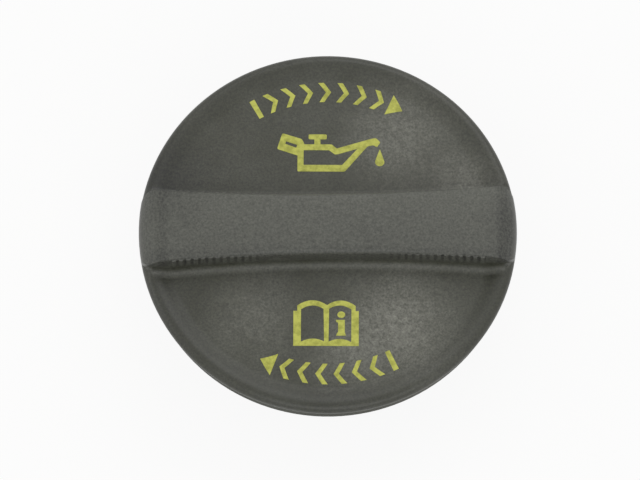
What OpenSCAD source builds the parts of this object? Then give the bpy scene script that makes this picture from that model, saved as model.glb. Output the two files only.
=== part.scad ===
// Quarter-turn oil filler cap: one moulded body with a full-width grip bar, and the seal ring on its stem.
// The origin is on the turning axis, in the plane of the stem's end. +Z points up, and X runs along the bar.

/* [Disc] */
// Diameter of the disc across its widest plane
disc_d = 68; // [60:0.5:80]
// Wall between the valley of the face and the underside
face_wall = 2.5; // [2:0.1:3]
// Rise of the domed face from its valley to its middle
face_rise = 0.8; // [0.6:0.05:1.6]
// Radius of the roll over the rim
rim_roll_r = 1.45; // [1.1:0.05:1.8]
// Height of the rim's crest over the valley of the face
rim_h = 0.9; // [0.6:0.05:1.2]
// Width of the slope between the crest and the valley
rim_slope_w = 3.6; // [2.8:0.1:4.4]

/* [Skirt] */
// How far the skirt reaches down past the stop land
skirt_lap = 1; // [0.5:0.1:2]
// Wall of the skirt
skirt_wall = 2.2; // [1.8:0.1:2.8]
// Inward taper of the skirt, in degrees
skirt_taper = 10; // [4:1:14]

/* [Grip bar] */
// Height of the bar over the rim's crest, at the middle
bar_h = 4.5; // [4:0.1:8]
// How much lower the crowned top of the bar is where its ends roll over
bar_crown = 0.6; // [0.2:0.05:0.8]
// Width of the bar across its waist, at the middle
bar_waist_w = 11.6; // [11:0.1:13]
// Width of the bar across its ends
bar_end_w = 13.8; // [13.4:0.1:16]
// Radius along the long top edges
bar_edge_r = 1.3; // [0.8:0.1:1.8]
// Radius of the roll over the bar's ends
bar_roll_r = 4.3; // [3:0.1:5]
// Radius of the upright corners of the bar
bar_corner_r = 2; // [1.2:0.1:2.6]
// Draft of the bar's sides, in degrees
bar_draft = 6; // [2:0.5:8]
// Wall left round the hollow of the bar
bar_wall = 2.4; // [2:0.1:2.8]
// Wall between two pockets of the hollow
bar_web = 1.2; // [1:0.1:1.6]
// Pockets in the length of the hollow that opens into the stem
bar_pockets = 4; // [2:1:5]

/* [Grip ribs] */
// Spacing of the ribs along the bar
rib_pitch = 1.3; // [1.1:0.05:1.6]
// Ribs in each of the four runs
rib_count = 14; // [10:1:15]
// Radius of one rib
rib_r = 0.45; // [0.35:0.05:0.5]
// How far the outermost rib stands proud of the side
rib_proud = 0.34; // [0.2:0.02:0.4]
// Distance from the axis to the outermost rib
rib_reach = 27.6; // [24:0.1:28]
// Height of the ribs' feet over the valley of the face
rib_foot_h = 1.9; // [1.1:0.1:2]
// How far the top of the outermost rib stands out over the rounded edge
rib_over = 0.4; // [0.2:0.05:0.6]

/* [Stem] */
// Length of the stem from its end to the stop land
stem_len = 16.5; // [15.5:0.5:20]
// Outer diameter of the stem between the lugs
stem_d = 30.8; // [29.6:0.2:32]
// Diameter of the bore of the stem
bore_d = 26; // [24:0.5:27]
// Chamfer on the end of the stem
stem_chamfer = 0.6; // [0.3:0.1:1]
// Height of the stop collar under the disc
collar_h = 1.1; // [0.8:0.1:2]
// Diameter of the stop collar
collar_d = 45; // [43:0.5:48]

/* [Bayonet lugs] */
// Diameter across the two lugs
lug_d = 36.8; // [36:0.1:37]
// Height of the underside of the lugs over the stem's end
lug_z = 1.2; // [0.8:0.1:2]
// Height of a lug where it is locked
lug_h = 3.8; // [3:0.1:4.4]
// Angle that one lug spans, in degrees
lug_span = 56; // [40:1:70]
// Drop of the ramp at the leading end of a lug
ramp_drop = 1.1; // [0.6:0.1:1.6]
// Angle from the bar to the middle of a lug, in degrees
lug_turn = 24; // [0:1:90]
// Angle that the turn stop spans, in degrees
stop_span = 7; // [4:1:10]

/* [Seal] */
// Diameter across the section of the seal ring
seal_section_d = 3; // [2.6:0.1:3.4]
// Diameter of the floor of the seal groove
groove_d = 32.4; // [31.6:0.2:33]
// Spare width of the groove beside the ring
groove_clearance = 1.2; // [0.8:0.1:1.6]
// Diameter of the flanges on both sides of the groove
flange_d = 37; // [36.4:0.1:37.4]
// Thickness of the flange between the groove and the collar
upper_flange_t = 1.9; // [1.4:0.1:2.4]
// Thickness of the flange between the groove and the lugs
lower_flange_t = 1.6; // [1.2:0.1:2]

/* [Underside] */
// Stiffening ribs between the collar and the skirt
under_ribs = 12; // [6:2:18]
// Thickness of a stiffening rib
under_rib_t = 1.2; // [1:0.1:1.8]

/* [Hidden] */
$fn = 128;
body_colour = [0.34, 0.34, 0.31];
seal_colour = [0.12, 0.12, 0.12];
// Overlap that joins two features of one moulding
bite = 0.6;
// How far a cutter passes the surface that it opens
clear = 1;
// Steps in a curved stretch of the disc's section
curve_steps = 12;

disc_r = disc_d / 2;
land_z = stem_len;
under_z = land_z + collar_h;
valley_z = under_z + face_wall;
crest_z = valley_z + rim_h;
wide_z = crest_z - rim_roll_r;
crest_r = disc_r - rim_roll_r;
valley_r = crest_r - rim_slope_w;
dome_r = (valley_r * valley_r + face_rise * face_rise) / (2 * face_rise);
skirt_z = land_z - skirt_lap;
skirt_r = disc_r - (wide_z - skirt_z) * tan(skirt_taper);
skirt_bore_r = skirt_r - skirt_wall;

top_z = crest_z + bar_h;
roll_x = disc_r - bar_roll_r;
crown_r = (roll_x * roll_x + bar_crown * bar_crown) / (2 * bar_crown);
waist_y = bar_waist_w / 2;
end_y = bar_end_w / 2;
waist_sag = end_y - waist_y;
// The sides of the bar are arcs through the waist and the places where they meet the corners
waist_x = sqrt(disc_r * disc_r - end_y * end_y) - bar_corner_r;
waist_r = (waist_x * waist_x + waist_sag * waist_sag) / (2 * waist_sag);
side_foot_z = valley_z - bite;
recess_reach = disc_r + clear;
hollow_half_w = waist_y - bar_wall;
hollow_z = top_z - bar_wall;
hollow_end_x = roll_x + bar_roll_r / 3;
bore_r = bore_d / 2;
collar_r = collar_d / 2;

stem_r = stem_d / 2;
lug_r = lug_d / 2;
groove_r = groove_d / 2;
flange_r = flange_d / 2;
groove_top_z = land_z - upper_flange_t;
groove_w = seal_section_d + groove_clearance;
groove_z = groove_top_z - groove_w;
lower_flange_z = groove_z - lower_flange_t;
lug_top_z = lug_z + lug_h;
seal_r = groove_r + seal_section_d / 2;
seal_z = groove_z + groove_w / 2;

// Height of the domed face at a radius
function dome_z(r) = valley_z + face_rise - dome_r + sqrt(dome_r * dome_r - r * r);

// Height of the crowned top of the bar, at a distance along it
function crown_z(x) = top_z - crown_r + sqrt(crown_r * crown_r - x * x);

// Half width of the bar at its top edges, at a distance along it
function bar_y(x) = waist_y + waist_r - sqrt(waist_r * waist_r - x * x);

// Corner of a square with a quarter round taken out of it: what is cut away to round an outer edge
module edge_waste(r) {
    difference() {
        square(r + clear);
        circle(r = r);
    }
}

// Section of the disc: domed face, valley, sloped rim, roll and tapered skirt
module disc_section() {
    dome = [for (i = [0:curve_steps]) let (r = valley_r * i / curve_steps) [r, dome_z(r)]];
    slope = [for (i = [1:curve_steps]) let (t = i / curve_steps)
        [valley_r + rim_slope_w * t, valley_z + rim_h * (1 - cos(180 * t)) / 2]];
    skirt = [
        [disc_r, crest_z],
        [disc_r, wide_z],
        [skirt_r, skirt_z],
        [skirt_bore_r, skirt_z],
        [skirt_bore_r, under_z],
        [0, under_z]
    ];
    difference() {
        polygon(concat(dome, slope, skirt));
        translate([crest_r, wide_z]) edge_waste(rim_roll_r);
    }
}

// Section of the bar before its sides are cut: crowned top and rolled ends
module bar_section() {
    difference() {
        intersection() {
            translate([0, wide_z]) square([disc_r, top_z - wide_z]);
            translate([0, top_z - crown_r]) circle(r = crown_r, $fn = 1024);
        }
        translate([roll_x, top_z - bar_crown - bar_roll_r]) edge_waste(bar_roll_r);
    }
}

// Space beside the bar, swept about a far upright axis: it leaves a waisted side with a rounded top edge
module bar_recess() {
    foot_r = waist_r - (top_z - bar_edge_r - side_foot_z) * tan(bar_draft);
    sweep = 2 * asin(recess_reach / (waist_r - recess_reach));
    translate([0, waist_y + waist_r, 0])
        rotate([0, 0, -90 - sweep / 2])
            rotate_extrude(angle = sweep, $fn = 2048)
                difference() {
                    polygon([
                        [waist_r - recess_reach, wide_z - clear],
                        [foot_r, wide_z - clear],
                        [foot_r, side_foot_z],
                        [waist_r, top_z - bar_edge_r],
                        [waist_r + bar_edge_r, top_z - bar_edge_r],
                        [waist_r + bar_edge_r, top_z + clear],
                        [waist_r - recess_reach, top_z + clear]
                    ]);
                    translate([waist_r + bar_edge_r, top_z - bar_edge_r]) circle(r = bar_edge_r);
                }
}

// Cuts one upright corner of the bar down to its radius
module bar_corner() {
    corner_y = bar_y(waist_x) - bar_corner_r;
    corner_x = sqrt(pow(disc_r - bar_corner_r, 2) - corner_y * corner_y);
    out = bar_corner_r + clear;
    lean = atan2(corner_y, corner_x);
    translate([corner_x, corner_y, wide_z - clear])
        linear_extrude(top_z - wide_z + 2 * clear)
            difference() {
                polygon([[0, 0], [out * cos(lean), out * sin(lean)], [out, out], [0, out]]);
                circle(r = bar_corner_r);
            }
}

// One run of ribs that fades towards the waist. Each climbs the rounded edge, the outermost furthest
module rib_run() {
    edge_z = top_z - bar_edge_r;
    foot_z = valley_z + rib_foot_h;
    for (i = [0:rib_count - 1]) {
        x = rib_reach - i * rib_pitch;
        fade = 1 - i / rib_count;
        climb = sqrt(pow(bar_edge_r, 2) - pow(bar_edge_r - rib_over * fade, 2));
        rib_top_z = min(edge_z + climb, crown_z(x) - rib_proud / 2);
        translate([x, bar_y(x) + rib_proud * fade - rib_r, foot_z])
            cylinder(r = rib_r, h = rib_top_z - foot_z);
    }
}

module grip_bar() {
    difference() {
        rotate_extrude() bar_section();
        bar_recess();
        mirror([0, 1, 0]) bar_recess();
        for (mx = [0, 1], my = [0, 1])
            mirror([mx, 0, 0]) mirror([0, my, 0]) bar_corner();
    }
    for (mx = [0, 1], my = [0, 1])
        mirror([mx, 0, 0]) mirror([0, my, 0]) rib_run();
}

// Hollow of the bar, cored from below: pockets inside the stem and one more beyond the collar at each end
module bar_hollow() {
    inner_x = bore_r - bite;
    pocket_w = (2 * inner_x - (bar_pockets - 1) * bar_web) / bar_pockets;
    for (i = [0:bar_pockets - 1])
        translate([-inner_x + i * (pocket_w + bar_web), -hollow_half_w, land_z])
            cube([pocket_w, 2 * hollow_half_w, hollow_z - land_z]);
    for (mx = [0, 1])
        mirror([mx, 0, 0])
            translate([collar_r + bar_web, -hollow_half_w, land_z])
                cube([hollow_end_x - collar_r - bar_web, 2 * hollow_half_w, hollow_z - land_z]);
}

// Section of the stem: tube, flanges of the seal groove and stop collar
module stem_section() {
    polygon([
        [bore_r, 0],
        [stem_r - stem_chamfer, 0],
        [stem_r, stem_chamfer],
        [stem_r, lower_flange_z],
        [flange_r, lower_flange_z],
        [flange_r, groove_z],
        [groove_r, groove_z],
        [groove_r, groove_top_z],
        [flange_r, groove_top_z],
        [flange_r, land_z],
        [collar_r, land_z],
        [collar_r, under_z + bite],
        [bore_r, under_z + bite]
    ]);
}

// Wedge from the axis outwards, centred on +X: what a ring is cut with to leave one sector of it
module sector(span) {
    out = lug_r + clear;
    translate([0, 0, -clear])
        linear_extrude(land_z)
            polygon([[0, 0], [out, -out * tan(span / 2)], [out, out * tan(span / 2)]]);
}

// One bayonet lug: its top face is ramped towards the leading end, and a turn stop closes the trailing end
module bayonet_lug() {
    half_len = lug_r * sin(lug_span / 2);
    reach = lug_r + clear;
    difference() {
        intersection() {
            rotate_extrude()
                polygon([
                    [stem_r - bite, lug_z],
                    [lug_r - stem_chamfer, lug_z],
                    [lug_r, lug_z + stem_chamfer],
                    [lug_r, lower_flange_z + bite],
                    [stem_r - bite, lower_flange_z + bite]
                ]);
            sector(lug_span);
        }
        translate([0, 0, lug_top_z]) {
            rotate([0, 0, lug_span / 2 - stop_span])
                translate([0, -2 * half_len, 0])
                    cube([reach, 2 * half_len, land_z]);
            rotate([atan2(ramp_drop, half_len), 0, 0])
                translate([0, -2 * half_len, 0])
                    cube([reach, 2 * half_len, lug_h]);
        }
    }
}

// Stiffening ribs under the disc, from the collar to the skirt
module under_rib_ring() {
    for (i = [0:under_ribs - 1])
        rotate([0, 0, (i + 0.5) * 360 / under_ribs])
            translate([collar_r - bite, -under_rib_t / 2, land_z])
                cube([skirt_bore_r - collar_r + 2 * bite, under_rib_t, collar_h + bite]);
}

module cap_body() {
    color(body_colour)
        difference() {
            union() {
                rotate_extrude() disc_section();
                grip_bar();
                rotate_extrude() stem_section();
                under_rib_ring();
                for (a = [0, 180])
                    rotate([0, 0, lug_turn + a]) bayonet_lug();
            }
            translate([0, 0, -clear])
                cylinder(r = bore_r, h = valley_z + face_rise - face_wall + clear);
            bar_hollow();
        }
}

module o_ring() {
    color(seal_colour)
        translate([0, 0, seal_z])
            rotate_extrude()
                translate([seal_r, 0])
                    circle(d = seal_section_d);
}

cap_body();
o_ring();
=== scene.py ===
import math

import bmesh
import bpy
import numpy as np
from mathutils import Matrix, Vector
from mathutils.bvhtree import BVHTree
from mathutils.geometry import delaunay_2d_cdt


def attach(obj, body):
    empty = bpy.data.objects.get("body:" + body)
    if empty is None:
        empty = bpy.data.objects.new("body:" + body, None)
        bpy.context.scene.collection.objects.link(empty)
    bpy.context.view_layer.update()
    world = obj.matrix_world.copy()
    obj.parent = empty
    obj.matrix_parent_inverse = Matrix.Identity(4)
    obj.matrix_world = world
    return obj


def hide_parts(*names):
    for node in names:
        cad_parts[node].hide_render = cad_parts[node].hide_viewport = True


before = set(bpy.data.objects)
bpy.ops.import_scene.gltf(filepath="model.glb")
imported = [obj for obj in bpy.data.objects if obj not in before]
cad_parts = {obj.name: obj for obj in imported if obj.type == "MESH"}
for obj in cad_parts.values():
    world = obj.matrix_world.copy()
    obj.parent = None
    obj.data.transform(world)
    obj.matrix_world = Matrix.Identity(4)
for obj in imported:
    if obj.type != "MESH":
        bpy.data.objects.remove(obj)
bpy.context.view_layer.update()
scene = bpy.context.scene
mm = 0.001
print("frame loaded:", sorted(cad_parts))


# Small tools: a colour, a node, a material and an object

def linear(hexColour):
    # sRGB hex to the linear colour that Blender's sockets take
    parts = [int(hexColour[i:i + 2], 16) / 255 for i in (1, 3, 5)]
    return [c / 12.92 if c <= 0.04045 else ((c + 0.055) / 1.055) ** 2.4 for c in parts] + [1]


def addNode(material, kind, inputs=None, **settings):
    # inputs: socket name or number -> a value, or the socket that is linked to it
    node = material.node_tree.nodes.new(kind)
    for name, value in settings.items():
        setattr(node, name, value)
    for name, value in (inputs or {}).items():
        if isinstance(value, bpy.types.NodeSocket):
            material.node_tree.links.new(value, node.inputs[name])
        else:
            node.inputs[name].default_value = value
    return node


def newMaterial(name):
    material = bpy.data.materials.new(name)
    material.use_nodes = True
    material.node_tree.nodes.clear()
    return material


def newObject(name, mesh):
    obj = bpy.data.objects.new(name, mesh)
    scene.collection.objects.link(obj)
    return obj


# Camera: long lens, a little to the left of the front and 71 degrees up, as the photo was taken

camera = {
    "elevation": 71.0,      # degrees over the horizon
    "swing": 0.7,           # degrees from the front towards -X
    "distance": 1000 * mm,
    "pixelsPerMm": 5.557,   # on the disc's widest plane
    "frame": (640, 480),    # pixels
    "discPixel": (327.8, 233.2),   # where the disc's middle lies in that frame
    "sensor": 36.0,         # mm
    "widePlane": 19.55 * mm,       # height of that plane
}


def placeCamera():
    c = camera
    tilt = math.radians(c["elevation"])
    swing = math.radians(c["swing"])
    level = math.cos(tilt)
    back = Vector((-math.sin(swing) * level, -math.cos(swing) * level, math.sin(tilt)))
    turn = back.to_track_quat("Z", "Y")
    right = turn @ Vector((1, 0, 0))
    up = turn @ Vector((0, 1, 0))
    width, height = c["frame"]
    aside = (c["discPixel"][0] - width / 2) / c["pixelsPerMm"] * mm
    above = (height / 2 - c["discPixel"][1]) / c["pixelsPerMm"] * mm
    aim = Vector((0, 0, c["widePlane"])) - right * aside - up * above
    data = bpy.data.cameras.new("camera")
    data.sensor_width = c["sensor"]
    data.lens = c["pixelsPerMm"] * c["distance"] / mm / width * c["sensor"]
    obj = newObject("camera", data)
    obj.rotation_mode = "QUATERNION"
    obj.rotation_quaternion = turn
    obj.location = aim + back * c["distance"]
    scene.camera = obj


placeCamera()
print("camera placed")


# Cap body: injection-moulded nylon 66 with glass fibre. The tool face is spark-eroded, so the plastic
# has a fine matt grain; the rim was cut smoother and shows a soft sheen, and the fibres mottle the tone.

capBody = {
    "dark": "#333428",
    "light": "#42433A",
    # Darker colour on the rim: painted shade on its slope
    "rimShade": "#2E2F25",
    "rimShadeShare": 0.6,              # share of that painted shade on the crest of the rim
    "barSheen": "#5D5E58",          # paler grip bar: painted sheen
    "barSheenShare": 0.55,
    "paintedLightTone": "#818178",           # pale tone of the painted light and of the painted highlight along the foot
    "ior": 1.53,
    "roughness": (0.42, 0.52),
    "roughnessRange": (0.3, 0.7),
    "rimRoughness": 0.38,
    "skirtRoughness": 0.85,       # as the tool leaves it
    "mottleSize": 7.0 * mm,       # clouds left by the flow of the melt
    "mottleRange": (0.34, 0.66),
    "speckSize": 0.42 * mm,       # fibre ends; real ones are finer, drawn as coarse as they need to show
    "speckRange": (0.3, 0.7),
    "speckTone": (0.6, 1.4),
    "grainSize": 0.34 * mm,       # spark-eroded grain; real about 0.1 mm, drawn coarser to show
    "grainHeight": 0.05 * mm,
    "grainStrength": (0.55, 0.2),        # on the face and on the smooth rim
    "rimSlope": (28.3 * mm, 32.5 * mm),  # radii of the valley and of the crest
    "barRise": (21.6 * mm, 23.5 * mm),   # heights over which the look of the face turns into the bar's
    "skirtFall": (19.6 * mm, 19.0 * mm),
    # Painted light, paler patches where the face is lit more: middle in mm, radius in mm, share
    "paintedLightPatches": [
        ((12, -18), 15, 0.62),
        ((13, 18), 15, 0.4),
        ((25, 9), 9, 0.42),
        ((-13, -16), 12, 0.27),
        ((2, -24), 10, 0.28),
    ],
    "blotchSize": 1.3 * mm,       # blotches that break up the painted light
    "blotchRange": (0.38, 0.62),
    "blotchTone": (0.65, 1.35),
    # Painted shade, darker patches where the face gets less light: middle in mm, radius in mm, change of
    # tone
    "paintedShading": [
        ((-29, 10), 14, -0.5),
        ((-29, -15), 12, -0.2),
        ((32, 1), 7, -0.2),
        ((-10, -11), 7, -0.12),
        ((8, -10), 6, -0.12),
        ((0, -32), 9, -0.15),
    ],
    # Painted light and shade on the bar: its tone rises towards the back edge, and painted shade lies on
    # its front edge and its ends
    "across": (-4.5 * mm, 5.5 * mm),
    "acrossTone": (-0.1, 0.18),
    "frontEdge": (-4.2 * mm, -5.6 * mm),
    "frontTone": -0.14,
    "rightEnd": (29.6 * mm, 31.0 * mm),
    "rightTone": -0.27,
    "leftEnd": -29.6 * mm,
    "leftWidth": 1.4 * mm,
    "leftTone": -0.22,
    # Small blend between the sides of the bar and the face
    "footRadius": 1.5 * mm,
    "footHeights": (19.8 * mm, 21.4 * mm),    # between these the foot of the bar runs
    "footLevel": 0.7,             # least upward share of the face's normal there
    "footUpright": 0.3,           # greatest upward share of the side's normal
    "blendLowest": 19.6 * mm,     # the blend lies over this height and within the next distance of the bar
    "blendWidest": 12.0 * mm,
    "blendEdge": 0.27 * mm,       # mesh edges along the blend
    "blendGrading": 0.8,          # further out, edges may be this share of their distance from it
    "blendReach": 2.5 * mm,       # edges that keep further away stay as they are
    "blendRounds": 9,
    "blendOff": 0.06 * mm,        # what stands further off both surfaces is a rib and stays
    "blendFade": (32.5 * mm, 33.4 * mm),      # it dies out over the rim, between these radii
    "blendLeast": 0.01 * mm,      # smaller than this it isn't drawn
    "footHighlight": 0.08,                 # share of the pale tone painted along the foot as a highlight
    "footHighlightAngle": 35.0,            # degrees round the blend where most of it lies
    "footHighlightSpread": 20.0,
    # Grip ribs on the sides of the bar
    "ribOutermost": 27.6 * mm,    # where along the bar the outermost rib stands
    "ribPitch": 1.3 * mm,
    "ribCrest": 0.28 * mm,        # nearer to a rib's middle than this lies its painted highlight
    "ribGap": 0.5 * mm,           # and further off than this the painted shade between two ribs
    "ribTone": (0.15, -0.32),     # tone of the painted highlight on the crest and of the painted shade between ribs
    "ribInner": (9.0 * mm, 14.0 * mm),        # both fade in between these distances from the waist,
    "ribOuter": (28.3 * mm, 27.9 * mm),       # out again near the bar's end
    "ribUpper": (24.95 * mm, 24.6 * mm),      # and below the top of the bar
    "tipReach": 28.4 * mm,        # no rib stands further out
    "tipAside": 5.8 * mm,         # the tips lie further than this from the middle of the bar
    "tipHeights": (24.3 * mm, 25.1 * mm),
    "tipLevel": 0.005 * mm,       # a tip is as flat as this
    "tipUpward": 0.98,            # and its normal points up by this share at least
    "tipKept": 0.6,               # share of its reach that a tip keeps
    "tipFall": 1.0,               # slope of a tip, as a share of that
    "weld": 0.002 * mm,
    "sharpAngle": 35.0,
}


def softPatches(m, flat, patches):
    # Round patches that fade out to their edges, added up
    total = 0.0
    for (x, y), radius, share in patches:
        gap = addNode(m, "ShaderNodeVectorMath", {0: flat, 1: (x * mm, y * mm, 0)}, operation="DISTANCE")
        patch = addNode(m, "ShaderNodeMapRange", {
            "Value": gap.outputs["Value"], "From Max": radius * mm, "To Min": share, "To Max": 0.0},
            interpolation_type="SMOOTHSTEP")
        total = addNode(m, "ShaderNodeMath", {0: patch.outputs[0], 1: total}, operation="ADD").outputs[0]
    return total


def ribLightAndShade(m, spot):
    # The crests of the grip ribs get a painted highlight and the gaps between them painted shade, down the
    # sides of the bar
    b = capBody
    along = addNode(m, "ShaderNodeMath", {0: spot.outputs["X"]}, operation="ABSOLUTE").outputs[0]
    inward = addNode(m, "ShaderNodeMath", {0: b["ribOutermost"], 1: along}, operation="SUBTRACT")
    fromRib = addNode(m, "ShaderNodeMath", {
        0: inward.outputs[0], 1: b["ribPitch"] / 2}, operation="PINGPONG")
    tone = addNode(m, "ShaderNodeMapRange", {
        "Value": fromRib.outputs[0], "From Min": b["ribCrest"], "From Max": b["ribGap"],
        "To Min": b["ribTone"][0], "To Max": b["ribTone"][1]}, interpolation_type="SMOOTHSTEP")
    limits = [(along, b["ribInner"]), (along, b["ribOuter"]), (spot.outputs["Z"], b["ribUpper"])]
    for value, (nothing, full) in limits:
        share = addNode(m, "ShaderNodeMapRange", {"Value": value, "From Min": nothing, "From Max": full})
        tone = addNode(m, "ShaderNodeMath", {0: tone.outputs[0], 1: share.outputs[0]}, operation="MULTIPLY")
    return tone.outputs[0]


def barTone(m, spot):
    # Painted light and shade on the tone of the bar
    b = capBody
    across = addNode(m, "ShaderNodeMapRange", {
        "Value": spot.outputs["Y"], "From Min": b["across"][0], "From Max": b["across"][1],
        "To Min": b["acrossTone"][0], "To Max": b["acrossTone"][1]})
    front = addNode(m, "ShaderNodeMapRange", {
        "Value": spot.outputs["Y"], "From Min": b["frontEdge"][0], "From Max": b["frontEdge"][1],
        "To Max": b["frontTone"]}, interpolation_type="SMOOTHSTEP")
    right = addNode(m, "ShaderNodeMapRange", {
        "Value": spot.outputs["X"], "From Min": b["rightEnd"][0], "From Max": b["rightEnd"][1],
        "To Max": b["rightTone"]}, interpolation_type="SMOOTHSTEP")
    leftGap = addNode(m, "ShaderNodeMath", {
        0: spot.outputs["X"], 1: b["leftEnd"]}, operation="SUBTRACT")
    leftAway = addNode(m, "ShaderNodeMath", {0: leftGap.outputs[0]}, operation="ABSOLUTE")
    left = addNode(m, "ShaderNodeMapRange", {
        "Value": leftAway.outputs[0], "From Max": b["leftWidth"],
        "To Min": b["leftTone"], "To Max": 0.0}, interpolation_type="SMOOTHSTEP")
    total = ribLightAndShade(m, spot)
    for part in (left, right, front, across):
        total = addNode(m, "ShaderNodeMath", {0: part.outputs[0], 1: total}, operation="ADD").outputs[0]
    return total


def paintedLightShare(m, place, flat, offBar):
    # Share of painted light: broad paler patches where the face is lit more and a painted highlight along
    # the foot, broken up by blotches
    b = capBody
    blotch = addNode(m, "ShaderNodeTexNoise", {
        "Vector": place, "Scale": 1 / b["blotchSize"], "Detail": 4.0, "Roughness": 0.75})
    broken = addNode(m, "ShaderNodeMapRange", {
        "Value": blotch.outputs["Fac"], "From Min": b["blotchRange"][0], "From Max": b["blotchRange"][1],
        "To Min": b["blotchTone"][0], "To Max": b["blotchTone"][1]})
    litPatches = addNode(m, "ShaderNodeMath", {
        0: softPatches(m, flat, b["paintedLightPatches"]), 1: offBar}, operation="MULTIPLY")
    paintedFootHighlight = addNode(m, "ShaderNodeAttribute", attribute_name="paintedFootHighlight")
    footGlint = addNode(m, "ShaderNodeMath", {0: paintedFootHighlight.outputs["Fac"], 1: b["footHighlight"]}, operation="MULTIPLY")
    pale = addNode(m, "ShaderNodeMath", {0: litPatches.outputs[0], 1: footGlint.outputs[0]}, operation="ADD")
    return addNode(m, "ShaderNodeMath", {
        0: pale.outputs[0], 1: broken.outputs[0]}, operation="MULTIPLY", use_clamp=True).outputs[0]


def nylonMaterial():
    b = capBody
    m = newMaterial("mouldedGlassFilledNylon")
    place = addNode(m, "ShaderNodeTexCoord").outputs["Object"]
    spot = addNode(m, "ShaderNodeSeparateXYZ", {0: place})
    mottle = addNode(m, "ShaderNodeTexNoise", {
        "Vector": place, "Scale": 1 / b["mottleSize"], "Detail": 4.0, "Roughness": 0.6})
    speck = addNode(m, "ShaderNodeTexNoise", {
        "Vector": place, "Scale": 1 / b["speckSize"], "Detail": 2.0, "Roughness": 0.7})
    grain = addNode(m, "ShaderNodeTexNoise", {
        "Vector": place, "Scale": 1 / b["grainSize"], "Detail": 3.0, "Roughness": 0.65})
    # How far out on the rim a point lies, from 0 in the valley to 1 on the crest, and how far up the bar
    flat = addNode(m, "ShaderNodeVectorMath", {0: place, 1: (1, 1, 0)}, operation="MULTIPLY").outputs[0]
    radius = addNode(m, "ShaderNodeVectorMath", {0: flat}, operation="LENGTH")
    onRim = addNode(m, "ShaderNodeMapRange", {
        "Value": radius.outputs["Value"], "From Min": b["rimSlope"][0],
        "From Max": b["rimSlope"][1]}, interpolation_type="SMOOTHSTEP")
    onBar = addNode(m, "ShaderNodeMapRange", {
        "Value": spot.outputs["Z"], "From Min": b["barRise"][0],
        "From Max": b["barRise"][1]}, interpolation_type="SMOOTHSTEP")
    offBar = addNode(m, "ShaderNodeMath", {0: 1.0, 1: onBar.outputs[0]}, operation="SUBTRACT")
    rimOnly = addNode(m, "ShaderNodeMath", {
        0: onRim.outputs[0], 1: offBar.outputs[0]}, operation="MULTIPLY")
    # Colour: melt clouds, then the paler grip bar as painted sheen, then the darker rim as painted shade,
    # then the paler patches and foot line as painted light
    cloud = addNode(m, "ShaderNodeMapRange", {
        "Value": mottle.outputs["Fac"], "From Min": b["mottleRange"][0], "From Max": b["mottleRange"][1]})
    base = addNode(m, "ShaderNodeMix", {
        0: cloud.outputs[0], 6: linear(b["dark"]), 7: linear(b["light"])}, data_type="RGBA")
    bar = addNode(m, "ShaderNodeMath", {0: onBar.outputs[0], 1: b["barSheenShare"]}, operation="MULTIPLY")
    withBar = addNode(m, "ShaderNodeMix", {
        0: bar.outputs[0], 6: base.outputs[2], 7: linear(b["barSheen"])}, data_type="RGBA")
    rim = addNode(m, "ShaderNodeMath", {0: rimOnly.outputs[0], 1: b["rimShadeShare"]}, operation="MULTIPLY")
    withRim = addNode(m, "ShaderNodeMix", {
        0: rim.outputs[0], 6: withBar.outputs[2], 7: linear(b["rimShade"])}, data_type="RGBA")
    withPaintedLight = addNode(m, "ShaderNodeMix", {
        0: paintedLightShare(m, place, flat, offBar.outputs[0]), 6: withRim.outputs[2], 7: linear(b["paintedLightTone"])},
        data_type="RGBA")
    # Tone: fibre specks, then painted light and shade on the bar and painted shade on the face
    speckTone = addNode(m, "ShaderNodeMapRange", {
        "Value": speck.outputs["Fac"], "From Min": b["speckRange"][0], "From Max": b["speckRange"][1],
        "To Min": b["speckTone"][0], "To Max": b["speckTone"][1]})
    barShading = addNode(m, "ShaderNodeMath", {
        0: barTone(m, spot), 1: onBar.outputs[0]}, operation="MULTIPLY")
    paintedShading = addNode(m, "ShaderNodeMath", {
        0: barShading.outputs[0], 1: softPatches(m, flat, b["paintedShading"])}, operation="ADD")
    tone = addNode(m, "ShaderNodeMath", {
        0: speckTone.outputs[0], 1: paintedShading.outputs[0]}, operation="ADD")
    colour = addNode(m, "ShaderNodeVectorMath", {
        0: withPaintedLight.outputs[2], "Scale": tone.outputs[0]}, operation="SCALE")
    # Gloss: the grain scatters, the rim less so, the skirt more
    rough = addNode(m, "ShaderNodeMapRange", {
        "Value": mottle.outputs["Fac"],
        "From Min": b["roughnessRange"][0], "From Max": b["roughnessRange"][1],
        "To Min": b["roughness"][0], "To Max": b["roughness"][1]})
    face = addNode(m, "ShaderNodeMix", {
        0: rimOnly.outputs[0], 2: rough.outputs[0], 3: b["rimRoughness"]}, data_type="FLOAT")
    onSkirt = addNode(m, "ShaderNodeMapRange", {
        "Value": spot.outputs["Z"], "From Min": b["skirtFall"][0], "From Max": b["skirtFall"][1]})
    gloss = addNode(m, "ShaderNodeMix", {
        0: onSkirt.outputs[0], 2: face.outputs[0], 3: b["skirtRoughness"]}, data_type="FLOAT")
    # Grain fades on the smooth rim
    grainFade = addNode(m, "ShaderNodeMapRange", {
        "Value": rimOnly.outputs[0], "To Min": b["grainStrength"][0], "To Max": b["grainStrength"][1]})
    bump = addNode(m, "ShaderNodeBump", {
        "Strength": grainFade.outputs[0], "Distance": b["grainHeight"], "Height": grain.outputs["Fac"]})
    shader = addNode(m, "ShaderNodeBsdfPrincipled", {
        "Base Color": colour.outputs[0], "Roughness": gloss.outputs[0], "IOR": b["ior"],
        "Normal": bump.outputs[0]})
    addNode(m, "ShaderNodeOutputMaterial", {0: shader.outputs[0]})
    return m


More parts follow.
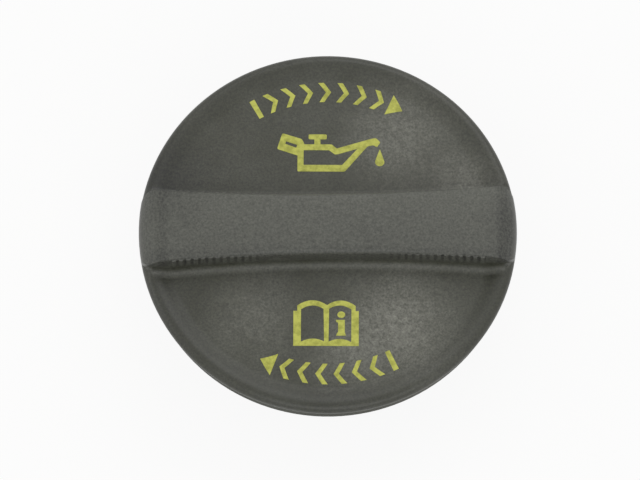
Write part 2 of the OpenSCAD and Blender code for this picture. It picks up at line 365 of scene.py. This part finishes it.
def slopeRibTips(mesh):
    # The ribs' flat tips are drawn in and fall off outwards, so that they run into the rounded edge
    b = capBody
    low, high = b["tipHeights"]
    tips = {}
    for face in mesh.faces:
        x, y, z = face.calc_center_median()
        heights = [v.co.z for v in face.verts]
        if face.normal.z < b["tipUpward"] or max(heights) - min(heights) > b["tipLevel"]:
            continue
        if low < z < high and abs(x) < b["tipReach"] and abs(y) > b["tipAside"]:
            rib = (round((b["ribOutermost"] - abs(x)) / b["ribPitch"]), x > 0, y > 0)
            tips.setdefault(rib, set()).update(face.verts)
    for verts in tips.values():
        root = min(abs(v.co.y) for v in verts)
        for vert in verts:
            reach = b["tipKept"] * (abs(vert.co.y) - root)
            vert.co.y = math.copysign(root + reach, vert.co.y)
            vert.co.z -= b["tipFall"] * reach
    mesh.normal_update()
    print("rib tips sloped:", len(tips))


def footStretches(mesh):
    # The inner corner where the bar stands on the face, as straight stretches between a level and an
    # upright face, each with its directions out over the face and up the side
    b = capBody
    low, high = b["footHeights"]
    foot = {"start": [], "run": [], "out": [], "up": []}
    for edge in mesh.edges:
        heights = [v.co.z for v in edge.verts]
        if len(edge.link_faces) != 2 or min(heights) < low or max(heights) > high:
            continue
        level, upright = sorted(edge.link_faces, key=lambda face: -face.normal.z)
        if level.normal.z < b["footLevel"] or abs(upright.normal.z) > b["footUpright"]:
            continue
        if (upright.calc_center_median() - level.calc_center_median()).dot(level.normal) <= 0:
            continue
        start, end = (v.co.copy() for v in edge.verts)
        along = (end - start).normalized()
        out = level.normal.cross(along).normalized()
        if out.dot(upright.normal) < 0:
            out = -out
        up = upright.normal.cross(along).normalized()
        if up.z < 0:
            up = -up
        for name, value in (("start", start), ("run", end - start), ("out", out), ("up", up)):
            foot[name].append(value)
    return {name: np.array(values) for name, values in foot.items()}


def nearestOnFoot(foot, points):
    # For each point: its distance, the nearest spot on the foot, and the foot's directions there.
    # The points are taken a few at a time, to keep the arrays small
    chunk = 2000
    lengths = (foot["run"] ** 2).sum(axis=1)
    gaps, spots, picks = [], [], []
    for i in range(0, len(points), chunk):
        p = points[i:i + chunk, None, :]
        t = np.clip(((p - foot["start"]) * foot["run"]).sum(axis=2) / lengths, 0, 1)
        candidates = foot["start"] + foot["run"] * t[:, :, None]
        away = np.linalg.norm(candidates - p, axis=2)
        pick = away.argmin(axis=1)
        rows = np.arange(len(pick))
        gaps.append(away[rows, pick])
        spots.append(candidates[rows, pick])
        picks.append(pick)
    picks = np.concatenate(picks)
    return np.concatenate(gaps), np.concatenate(spots), foot["out"][picks], foot["up"][picks]


def refineAlongFoot(mesh, foot):
    # Splits long edges near the foot, round by round, until the blend can be drawn
    b = capBody
    for step in range(b["blendRounds"]):
        near = []
        for edge in mesh.edges:
            low = min(v.co.z for v in edge.verts)
            aside = min(abs(v.co.y) for v in edge.verts)
            if edge.calc_length() > b["blendEdge"] and low > b["blendLowest"] and aside < b["blendWidest"]:
                near.append(edge)
        if not near:
            break
        starts, ends = (np.array([edge.verts[i].co[:] for edge in near]) for i in (0, 1))
        size = np.linalg.norm(ends - starts, axis=1)
        tries = (starts, (starts + ends) / 2, ends)
        gap = np.array([nearestOnFoot(foot, points)[0] for points in tries]).min(axis=0)
        allowed = np.maximum(b["blendEdge"], b["blendGrading"] * (gap - b["footRadius"]))
        allowed = np.where(gap < b["blendReach"], allowed, np.inf)
        long = [edge for edge, tooLong in zip(near, size > allowed) if tooLong]
        if not long:
            break
        bmesh.ops.subdivide_edges(mesh, edges=long, cuts=1)
        bmesh.ops.triangulate(mesh, faces=[face for face in mesh.faces if len(face.verts) > 3])
    print("cap skin refined in", step, "rounds,", len(mesh.faces), "faces")


def roundFoot(mesh, foot):
    # Moves what lies near the foot onto a quarter round, and notes where the painted highlight lies on it
    b = capBody
    fadeFrom, fadeTo = b["blendFade"]
    footHighlight = mesh.verts.layers.float.new("paintedFootHighlight")
    verts = [v for v in mesh.verts if v.co.z > b["blendLowest"] and abs(v.co.y) < b["blendWidest"]]
    nearest = nearestOnFoot(foot, np.array([v.co[:] for v in verts]))
    for vert, gap, spot, out, up in zip(verts, *nearest):
        fade = (fadeTo - math.hypot(spot[0], spot[1])) / (fadeTo - fadeFrom)
        r = b["footRadius"] * min(1, max(0, fade))
        if gap >= r or r < b["blendLeast"]:
            continue
        offset = np.array(vert.co) - spot
        onFace, onSide = float(offset @ out), float(offset @ up)
        if min(onFace, onSide) > b["blendOff"]:
            continue
        way = r - onFace if onFace > onSide else r + onSide
        angle = math.pi / 2 * way / (2 * r)
        vert.co = Vector(spot + out * (r - r * math.sin(angle)) + up * (r - r * math.cos(angle)))
        vert[footHighlight] = math.exp(-((math.degrees(angle) - b["footHighlightAngle"]) / b["footHighlightSpread"]) ** 2)
    mesh.normal_update()


def buildCapSkin():
    # The moulding as the CAD gives it, with the small blend radius that the tool leaves at the bar's foot
    b = capBody
    mesh = bmesh.new()
    mesh.from_mesh(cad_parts["cap_body"].data)
    bmesh.ops.remove_doubles(mesh, verts=mesh.verts, dist=b["weld"])
    bmesh.ops.triangulate(mesh, faces=mesh.faces)
    slopeRibTips(mesh)
    foot = footStretches(mesh)
    refineAlongFoot(mesh, foot)
    roundFoot(mesh, foot)
    for face in mesh.faces:
        face.smooth = True
    limit = math.radians(b["sharpAngle"])
    for edge in mesh.edges:
        edge.smooth = len(edge.link_faces) == 2 and edge.calc_face_angle() < limit
    data = bpy.data.meshes.new("capSkin")
    mesh.to_mesh(data)
    mesh.free()
    skin = newObject("capSkin", data)
    skin.data.materials.append(nylonMaterial())
    evenNormals = skin.modifiers.new("evenNormals", "WEIGHTED_NORMAL")
    evenNormals.keep_sharp = True
    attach(skin, "root")
    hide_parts("cap_body")
    return skin


capSkin = buildCapSkin()
print("cap skin built")


# Seal ring: nitrile rubber, compression moulded, with a dull skin

seal = {
    "dark": "#1B1B1C",
    "light": "#262627",
    "ior": 1.52,
    "roughness": (0.55, 0.7),
    "cloudSize": 2.5 * mm,
    "skinSize": 0.25 * mm,     # fine unevenness of the moulded skin
    "skinDepth": 0.02 * mm,
    "skinStrength": 0.4,
}


def rubberMaterial():
    s = seal
    m = newMaterial("mouldedNitrileRubber")
    place = addNode(m, "ShaderNodeTexCoord").outputs["Object"]
    cloud = addNode(m, "ShaderNodeTexNoise", {"Vector": place, "Scale": 1 / s["cloudSize"], "Detail": 3.0})
    skin = addNode(m, "ShaderNodeTexNoise", {"Vector": place, "Scale": 1 / s["skinSize"], "Detail": 2.0})
    colour = addNode(m, "ShaderNodeMix", {
        0: cloud.outputs["Fac"], 6: linear(s["dark"]), 7: linear(s["light"])}, data_type="RGBA")
    rough = addNode(m, "ShaderNodeMapRange", {
        "Value": cloud.outputs["Fac"], "To Min": s["roughness"][0], "To Max": s["roughness"][1]})
    bump = addNode(m, "ShaderNodeBump", {
        "Strength": s["skinStrength"], "Distance": s["skinDepth"], "Height": skin.outputs["Fac"]})
    shader = addNode(m, "ShaderNodeBsdfPrincipled", {
        "Base Color": colour.outputs[2], "Roughness": rough.outputs[0], "IOR": s["ior"],
        "Normal": bump.outputs[0]})
    addNode(m, "ShaderNodeOutputMaterial", {0: shader.outputs[0]})
    return m


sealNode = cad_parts["o_ring"]
sealNode.data.materials.clear()
sealNode.data.materials.append(rubberMaterial())
for polygon in sealNode.data.polygons:
    polygon.use_smooth = True
print("seal ring finished")


# Print: yellow two-part ink, pad printed. A thin, dull film: the grain shows through and its tone is uneven

ink = {
    "thin": "#A0A243",
    "full": "#C4C65B",
    "ior": 1.5,
    "roughness": 0.55,
    "cloudSize": 1.1 * mm,
    "cloudRange": (0.35, 0.6),
    "grainSize": 0.34 * mm,    # the grain under it
    "grainDepth": 0.03 * mm,
    "grainStrength": 0.3,
    "film": 0.03 * mm,         # over the face
    "sunk": 0.03 * mm,         # below it, so that the film is closed
    "from": 40 * mm,           # height from which it is laid on the face
    "turn": -1.0,              # degrees: the print isn't quite square to the bar
    "stretch": 1.2,            # mm, longest stretch of an outline, so that the film follows the dome
    "join": 1e-5,              # mm, points nearer than this are one
}


def inkMaterial():
    k = ink
    m = newMaterial("padPrintedInk")
    place = addNode(m, "ShaderNodeTexCoord").outputs["Object"]
    cloud = addNode(m, "ShaderNodeTexNoise", {
        "Vector": place, "Scale": 1 / k["cloudSize"], "Detail": 3.0, "Roughness": 0.6})
    grain = addNode(m, "ShaderNodeTexNoise", {
        "Vector": place, "Scale": 1 / k["grainSize"], "Detail": 2.0})
    cover = addNode(m, "ShaderNodeMapRange", {
        "Value": cloud.outputs["Fac"], "From Min": k["cloudRange"][0], "From Max": k["cloudRange"][1]})
    colour = addNode(m, "ShaderNodeMix", {
        0: cover.outputs[0], 6: linear(k["thin"]), 7: linear(k["full"])}, data_type="RGBA")
    bump = addNode(m, "ShaderNodeBump", {
        "Strength": k["grainStrength"], "Distance": k["grainDepth"], "Height": grain.outputs["Fac"]})
    shader = addNode(m, "ShaderNodeBsdfPrincipled", {
        "Base Color": colour.outputs[2], "Roughness": k["roughness"], "IOR": k["ior"],
        "Normal": bump.outputs[0]})
    addNode(m, "ShaderNodeOutputMaterial", {0: shader.outputs[0]})
    return m


inkFilm = inkMaterial()
capTree = BVHTree.FromObject(capSkin, bpy.context.evaluated_depsgraph_get())


def arc(x, y, radius, start, end, steps, squash=1.0):
    # Points along a round stretch of an outline, from one angle to the other, in degrees
    turns = [math.radians(start + (end - start) * i / steps) for i in range(steps + 1)]
    return [(x + radius * math.cos(t), y + radius * squash * math.sin(t)) for t in turns]


def bow(a, b, rise, steps=8):
    # Points along a shallow curve from a to b, which rises between them
    points = []
    for i in range(steps + 1):
        t = i / steps
        lift = rise * 4 * t * (1 - t)
        points.append((a[0] + (b[0] - a[0]) * t, a[1] + (b[1] - a[1]) * t + lift))
    return points


def block(left, low, right, high):
    # A plain rectangle
    return [(left, low), (right, low), (right, high), (left, high)]


def rounded(points, radius, steps=4):
    # The outline with each corner cut back by a short curve, over less than half of each side
    most = 1 / 2.1
    soft = []
    for i, (x, y) in enumerate(points):
        corner = Vector((x, y))
        before = Vector(points[i - 1]) - corner
        after = Vector(points[(i + 1) % len(points)]) - corner
        a = corner + before.normalized() * min(radius, before.length * most)
        b = corner + after.normalized() * min(radius, after.length * most)
        for j in range(steps + 1):
            t = j / steps
            soft.append(tuple(a * (1 - t) ** 2 + corner * 2 * t * (1 - t) + b * t ** 2))
    return soft


def stretched(points):
    # Long stretches divided, and the outline run anticlockwise
    area = sum(a[0] * b[1] - b[0] * a[1] for a, b in zip(points, points[1:] + points[:1]))
    if area < 0:
        points = points[::-1]
    dense = []
    for a, b in zip(points, points[1:] + points[:1]):
        parts = max(1, math.ceil(math.dist(a, b) / ink["stretch"]))
        for i in range(parts):
            dense.append((a[0] + (b[0] - a[0]) * i / parts, a[1] + (b[1] - a[1]) * i / parts))
    return dense


def printFilm(name, shapes):
    # shapes: outlines in mm, each inked or left bare; where they overlap, the later one counts
    coords, loops, inked = [], [], []
    for points, isInk in shapes:
        points = stretched(list(points))
        loops.append(list(range(len(coords), len(coords) + len(points))))
        coords += [Vector(p) for p in points]
        inked.append(isInk)
    spots, _, faces, _, _, sources = delaunay_2d_cdt(coords, [], loops, 0, ink["join"])
    kept = [face for face, owners in zip(faces, sources) if owners and inked[max(owners)]]
    turn = Matrix.Rotation(math.radians(ink["turn"]), 2)
    mesh = bmesh.new()
    top, low = {}, {}
    for i in sorted({i for face in kept for i in face}):
        x, y = (turn @ spots[i]) * mm
        hit = capTree.ray_cast(Vector((x, y, ink["from"])), Vector((0, 0, -1)))[0]
        top[i] = mesh.verts.new((x, y, hit.z + ink["film"]))
        low[i] = mesh.verts.new((x, y, hit.z - ink["sunk"]))
    rim = {}
    for face in kept:
        mesh.faces.new([top[i] for i in face])
        mesh.faces.new([low[i] for i in reversed(face)])
        for a, b in zip(face, list(face[1:]) + [face[0]]):
            if (b, a) in rim:
                del rim[(b, a)]
            else:
                rim[(a, b)] = True
    for a, b in rim:
        mesh.faces.new([top[b], top[a], low[a], low[b]])
    bmesh.ops.recalc_face_normals(mesh, faces=mesh.faces)
    data = bpy.data.meshes.new(name)
    mesh.to_mesh(data)
    mesh.free()
    film = newObject(name, data)
    film.data.materials.append(inkFilm)
    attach(film, "root")


def oilCan():
    # Oil can with a drop: the common sign for engine oil. Outlines in mm
    handle = [
        (-8.31, 18.77), (-4.70, 17.60), (-4.30, 16.60), (-4.30, 14.80), (-5.45, 14.40), (-9.26, 15.70),
    ]
    slot = [(-7.64, 17.20), (-7.78, 16.70), (-5.76, 15.92), (-5.61, 16.50)]
    can = [
        (-5.54, 11.34), (3.00, 11.34), (7.10, 16.26), (8.14, 16.52), (8.81, 16.10), (9.42, 17.05),
        (8.62, 17.90), (7.67, 17.72), (1.54, 15.80), (0.63, 16.60), (-5.55, 16.60),
    ]
    inside = [
        (-4.44, 12.62), (2.53, 12.62), (5.29, 15.79), (1.77, 14.70), (1.20, 14.66), (0.15, 15.47),
        (-4.44, 15.47),
    ]
    drop = arc(9.31, 13.25, 0.84, 160, 380, 14, 0.95) + [(9.36, 15.66), (9.26, 15.66)]
    return [
        (rounded(handle, 0.35), True),
        (rounded(can, 0.25), True),
        (rounded(slot, 0.12), False),
        (rounded(inside, 0.12), False),
        (rounded(block(-3.56, 17.57, -0.28, 18.54), 0.25), True),
        (block(-2.51, 16.30, -1.42, 17.80), True),
        (drop, True),
    ]


def openBook():
    # Open book with an i: the common sign for "read the handbook". Outlines in mm
    cover = block(-6.08, -21.60, 5.62, -15.10)
    leftPage = bow((-5.40, -14.10), (-0.02, -14.05), 0.95) + [(-0.02, -21.40), (-5.40, -21.40)]
    rightPage = bow((-0.10, -14.05), (5.05, -14.15), 0.95) + [(5.05, -21.40), (-0.10, -21.40)]
    leftPaper = bow((-4.72, -14.82), (-0.69, -14.72), 0.68) + bow((-0.57, -20.78), (-4.71, -20.84), 0.55)
    rightPaper = bow((0.30, -14.70), (4.30, -14.82), 0.68) + bow((4.29, -20.88), (0.23, -20.82), 0.55)
    stem = [
        (1.55, -19.69), (3.32, -19.69), (3.20, -19.25), (3.12, -19.00),
        (3.12, -16.76), (1.50, -16.76), (1.60, -17.15), (1.93, -17.30), (1.93, -19.00), (1.72, -19.25),
    ]
    return [
        (cover, True), (leftPage, True), (rightPage, True),
        (leftPaper, False), (rightPaper, False),
        (stem, True), (arc(2.49, -15.79, 0.70, 0, 345, 23, 0.86), True),
    ]


turnMarks = {
    # Name, middle in degrees, chevrons
    "bands": [("printArcUpper", 90.0, 7), ("printArcLower", 270.0, 6)],
    "radius": 26.8,     # mm, middle of the band
    "half": 1.9,        # mm, half the height of a mark
    "stroke": 0.95,     # mm, along the band
    "pitch": 3.27,      # mm
    "lead": 0.75,       # pitches from the bar to the first chevron
    "point": 1.3,       # mm, how far a chevron's point stands forward
    "head": 2.7,        # mm, length of the arrow head
    "flare": 1.1,       # height of the arrow head as a share of the marks'
}


def turnBand(middle, chevrons):
    # Marks that point the way to lock the cap: a bar, chevrons and an arrow head, bent round the axis
    t = turnMarks
    h, w = t["half"], t["stroke"]
    marks = [block(0, -h, w, h)]
    for i in range(chevrons):
        u = t["pitch"] * (i + t["lead"])
        v = u + t["point"]
        marks.append([(u, h), (v, 0), (u, -h), (u + w, -h), (v + w, 0), (u + w, h)])
    u = t["pitch"] * (chevrons + t["lead"])
    length = u + t["head"]
    marks.append([(u, -h * t["flare"]), (length, 0), (u, h * t["flare"])])
    shapes = []
    for mark in marks:
        bent = []
        for x, y in stretched(mark):
            angle = math.radians(middle) + (length / 2 - x) / t["radius"]
            bent.append(((t["radius"] + y) * math.cos(angle), (t["radius"] + y) * math.sin(angle)))
        shapes.append((bent, True))
    return shapes


printFilm("printOilCan", oilCan())
printFilm("printBook", openBook())
for bandName, bandMiddle, bandChevrons in turnMarks["bands"]:
    printFilm(bandName, turnBand(bandMiddle, bandChevrons))
print("print laid on the face")


# Stage: a white table in a white room, under soft boxes. The camera sees both as white, and the soft
# shadow stays

stage = {
    "floorSize": 6.0,       # m
    "floor": "#F4F4F2",
    "floorGap": 0.02 * mm,  # under the stem, so that the two faces don't fight
    "whiteShare": 0.9,      # of the floor that the camera sees as plain white
    "roomLight": 0.6,       # light that the white room throws on the object
    # Soft boxes: name, watts, width and length in m, place in m
    "lamps": [
        ("backBox", 2.05, 0.90, 0.70, (0.26, 0.70, 0.80)),
        ("frontBox", 2.40, 1.20, 0.60, (0.08, -0.86, 0.68)),
        ("leftBox", 0.60, 0.50, 0.50, (-0.84, 0.05, 0.45)),
    ],
    "lampAim": (0, 0, 0.02),
}


def seenWhite(owner):
    # 1 for what is seen straight, in a reflection or through a clear piece, and 0 for light on the object
    path = addNode(owner, "ShaderNodeLightPath")
    mirrored = addNode(owner, "ShaderNodeMath", {
        0: path.outputs["Is Camera Ray"], 1: path.outputs["Is Glossy Ray"]}, operation="MAXIMUM")
    return addNode(owner, "ShaderNodeMath", {
        0: mirrored.outputs[0], 1: path.outputs["Is Transmission Ray"]}, operation="MAXIMUM").outputs[0]


def buildFloor():
    s = stage
    half = s["floorSize"] / 2
    corners = [(-half, -half, 0), (half, -half, 0), (half, half, 0), (-half, half, 0)]
    data = bpy.data.meshes.new("floor")
    data.from_pydata(corners, [], [(0, 1, 2, 3)])
    floor = newObject("floor", data)
    floor.location.z = -s["floorGap"]
    # Matt white lacquer on board, which scatters the light evenly and mirrors nothing
    m = newMaterial("mattLacqueredBoard")
    share = addNode(m, "ShaderNodeMath", {0: seenWhite(m), 1: s["whiteShare"]}, operation="MULTIPLY")
    matt = addNode(m, "ShaderNodeBsdfDiffuse", {"Color": linear(s["floor"])})
    white = addNode(m, "ShaderNodeEmission", {"Color": (1, 1, 1, 1), "Strength": 1.0})
    top = addNode(m, "ShaderNodeMixShader", {0: share.outputs[0], 1: matt.outputs[0], 2: white.outputs[0]})
    # Seen from below, the table is clear, so that the underside of the cap shows
    below = addNode(m, "ShaderNodeNewGeometry").outputs["Backfacing"]
    clear = addNode(m, "ShaderNodeBsdfTransparent")
    table = addNode(m, "ShaderNodeMixShader", {0: below, 1: top.outputs[0], 2: clear.outputs[0]})
    addNode(m, "ShaderNodeOutputMaterial", {0: table.outputs[0]})
    data.materials.append(m)


def buildRoom():
    s = stage
    world = bpy.data.worlds.new("studio")
    scene.world = world
    world.use_nodes = True
    world.node_tree.nodes.clear()
    level = addNode(world, "ShaderNodeMapRange", {
        "Value": seenWhite(world), "To Min": s["roomLight"], "To Max": 1.0})
    sky = addNode(world, "ShaderNodeBackground", {"Color": (1, 1, 1, 1), "Strength": level.outputs[0]})
    addNode(world, "ShaderNodeOutputWorld", {0: sky.outputs[0]})
    for name, watts, width, length, place in s["lamps"]:
        lamp = bpy.data.lights.new(name, "AREA")
        lamp.shape = "RECTANGLE"
        lamp.energy = watts
        lamp.size = width
        lamp.size_y = length
        obj = newObject(name, lamp)
        obj.location = place
        obj.rotation_mode = "QUATERNION"
        obj.rotation_quaternion = (Vector(place) - Vector(s["lampAim"])).to_track_quat("Z", "Y")


buildFloor()
buildRoom()
scene.view_settings.view_transform = "Standard"
print("stage lit")
